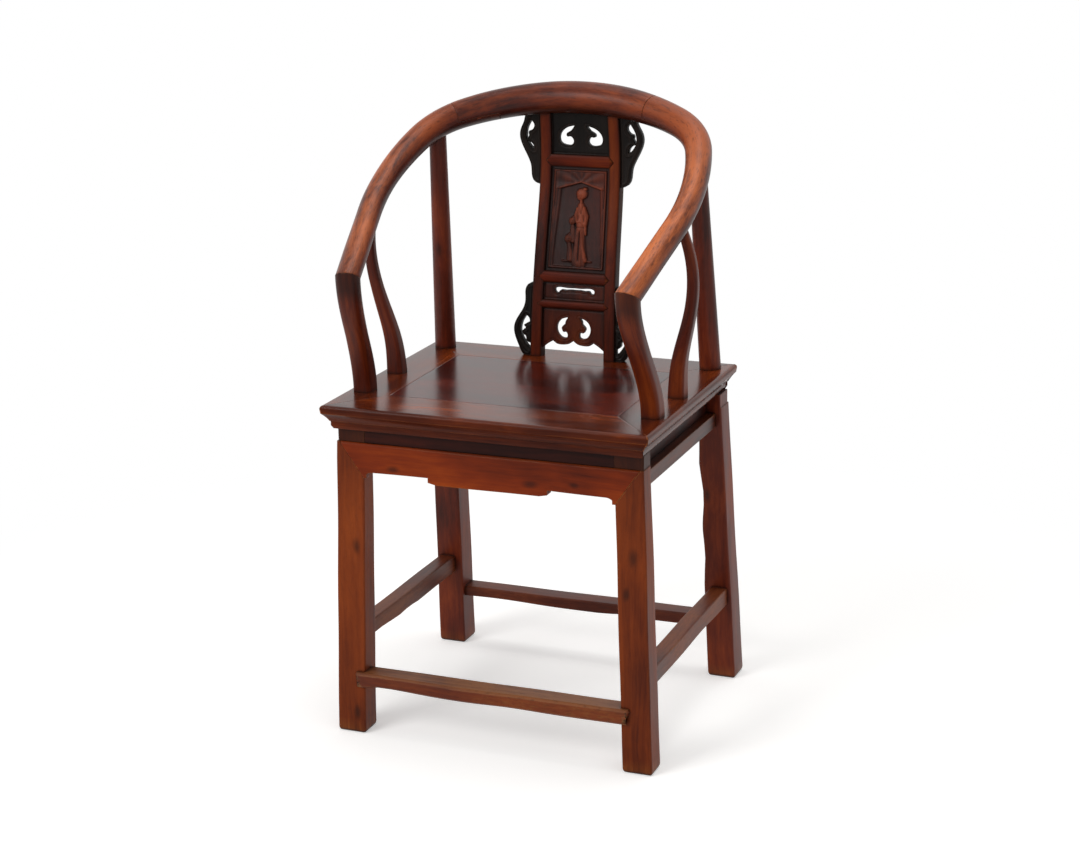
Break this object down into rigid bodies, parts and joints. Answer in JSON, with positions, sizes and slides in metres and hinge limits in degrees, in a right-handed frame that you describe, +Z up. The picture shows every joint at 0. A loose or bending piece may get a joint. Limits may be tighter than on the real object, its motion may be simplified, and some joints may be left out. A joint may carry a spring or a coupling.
{
  "type": "horseshoe back armchair",
  "caption": "Carved hardwood horseshoe-back armchair: mitred panel seat, splayed legs with stretchers, openwork splat, gooseneck and S-shaped arm posts.",
  "frame": {"origin": "on the floor, under the middle of the whole chair", "axes": "+X to the right seen from the front, -Y the front, +Z up"},
  "size_m": [0.5078, 0.4383, 0.9118],
  "materials": {
    "carved_wood": "near-black lacquer",
    "crest_wood": "worn to bare wood",
    "leg_wood": "polished, red-brown",
    "pin_wood": "polished",
    "post_wood": "polished",
    "red_wood": "polished, red-brown",
    "seat_wood": "old dark lacquer, worn",
    "splat_wood": "polished",
    "waist_wood": "dark lacquer"
  },
  "bodies": {
    "root": {"apron_front": "red_wood", "crest_arm_left": "crest_wood", "crest_arm_right": "crest_wood", "crest_centre": "crest_wood", "footrest": "leg_wood", "footrest_pegs": "leg_wood", "front_leg_left": "red_wood", "front_leg_right": "red_wood", "front_post_left": "post_wood", "front_post_right": "post_wood", "rear_leg_left": "leg_wood", "rear_leg_right": "leg_wood", "rear_rail": "leg_wood", "rear_stretcher": "leg_wood", "scarf_pins": "pin_wood", "seat_batten": "seat_wood", "seat_panel": "seat_wood", "seat_rail_front": "seat_wood", "seat_rail_left": "seat_wood", "seat_rail_rear": "seat_wood", "seat_rail_right": "seat_wood", "side_post_left": "post_wood", "side_post_right": "post_wood", "side_rail_left": "leg_wood", "side_rail_right": "leg_wood", "side_stretcher_left": "leg_wood", "side_stretcher_right": "leg_wood", "spandrel_lower_left": "carved_wood", "spandrel_lower_right": "carved_wood", "spandrel_upper_left": "carved_wood", "spandrel_upper_right": "carved_wood", "splat_panel_figure": "carved_wood", "splat_panel_foot": "carved_wood", "splat_panel_slot": "carved_wood", "splat_panel_top": "carved_wood", "splat_rail_lower": "splat_wood", "splat_rail_middle": "splat_wood", "splat_rail_upper": "splat_wood", "splat_stile_left": "splat_wood", "splat_stile_right": "splat_wood", "waist_board_front": "waist_wood", "waist_board_left": "waist_wood", "waist_board_rear": "waist_wood", "waist_board_right": "waist_wood"}
  },
  "joints": []
}
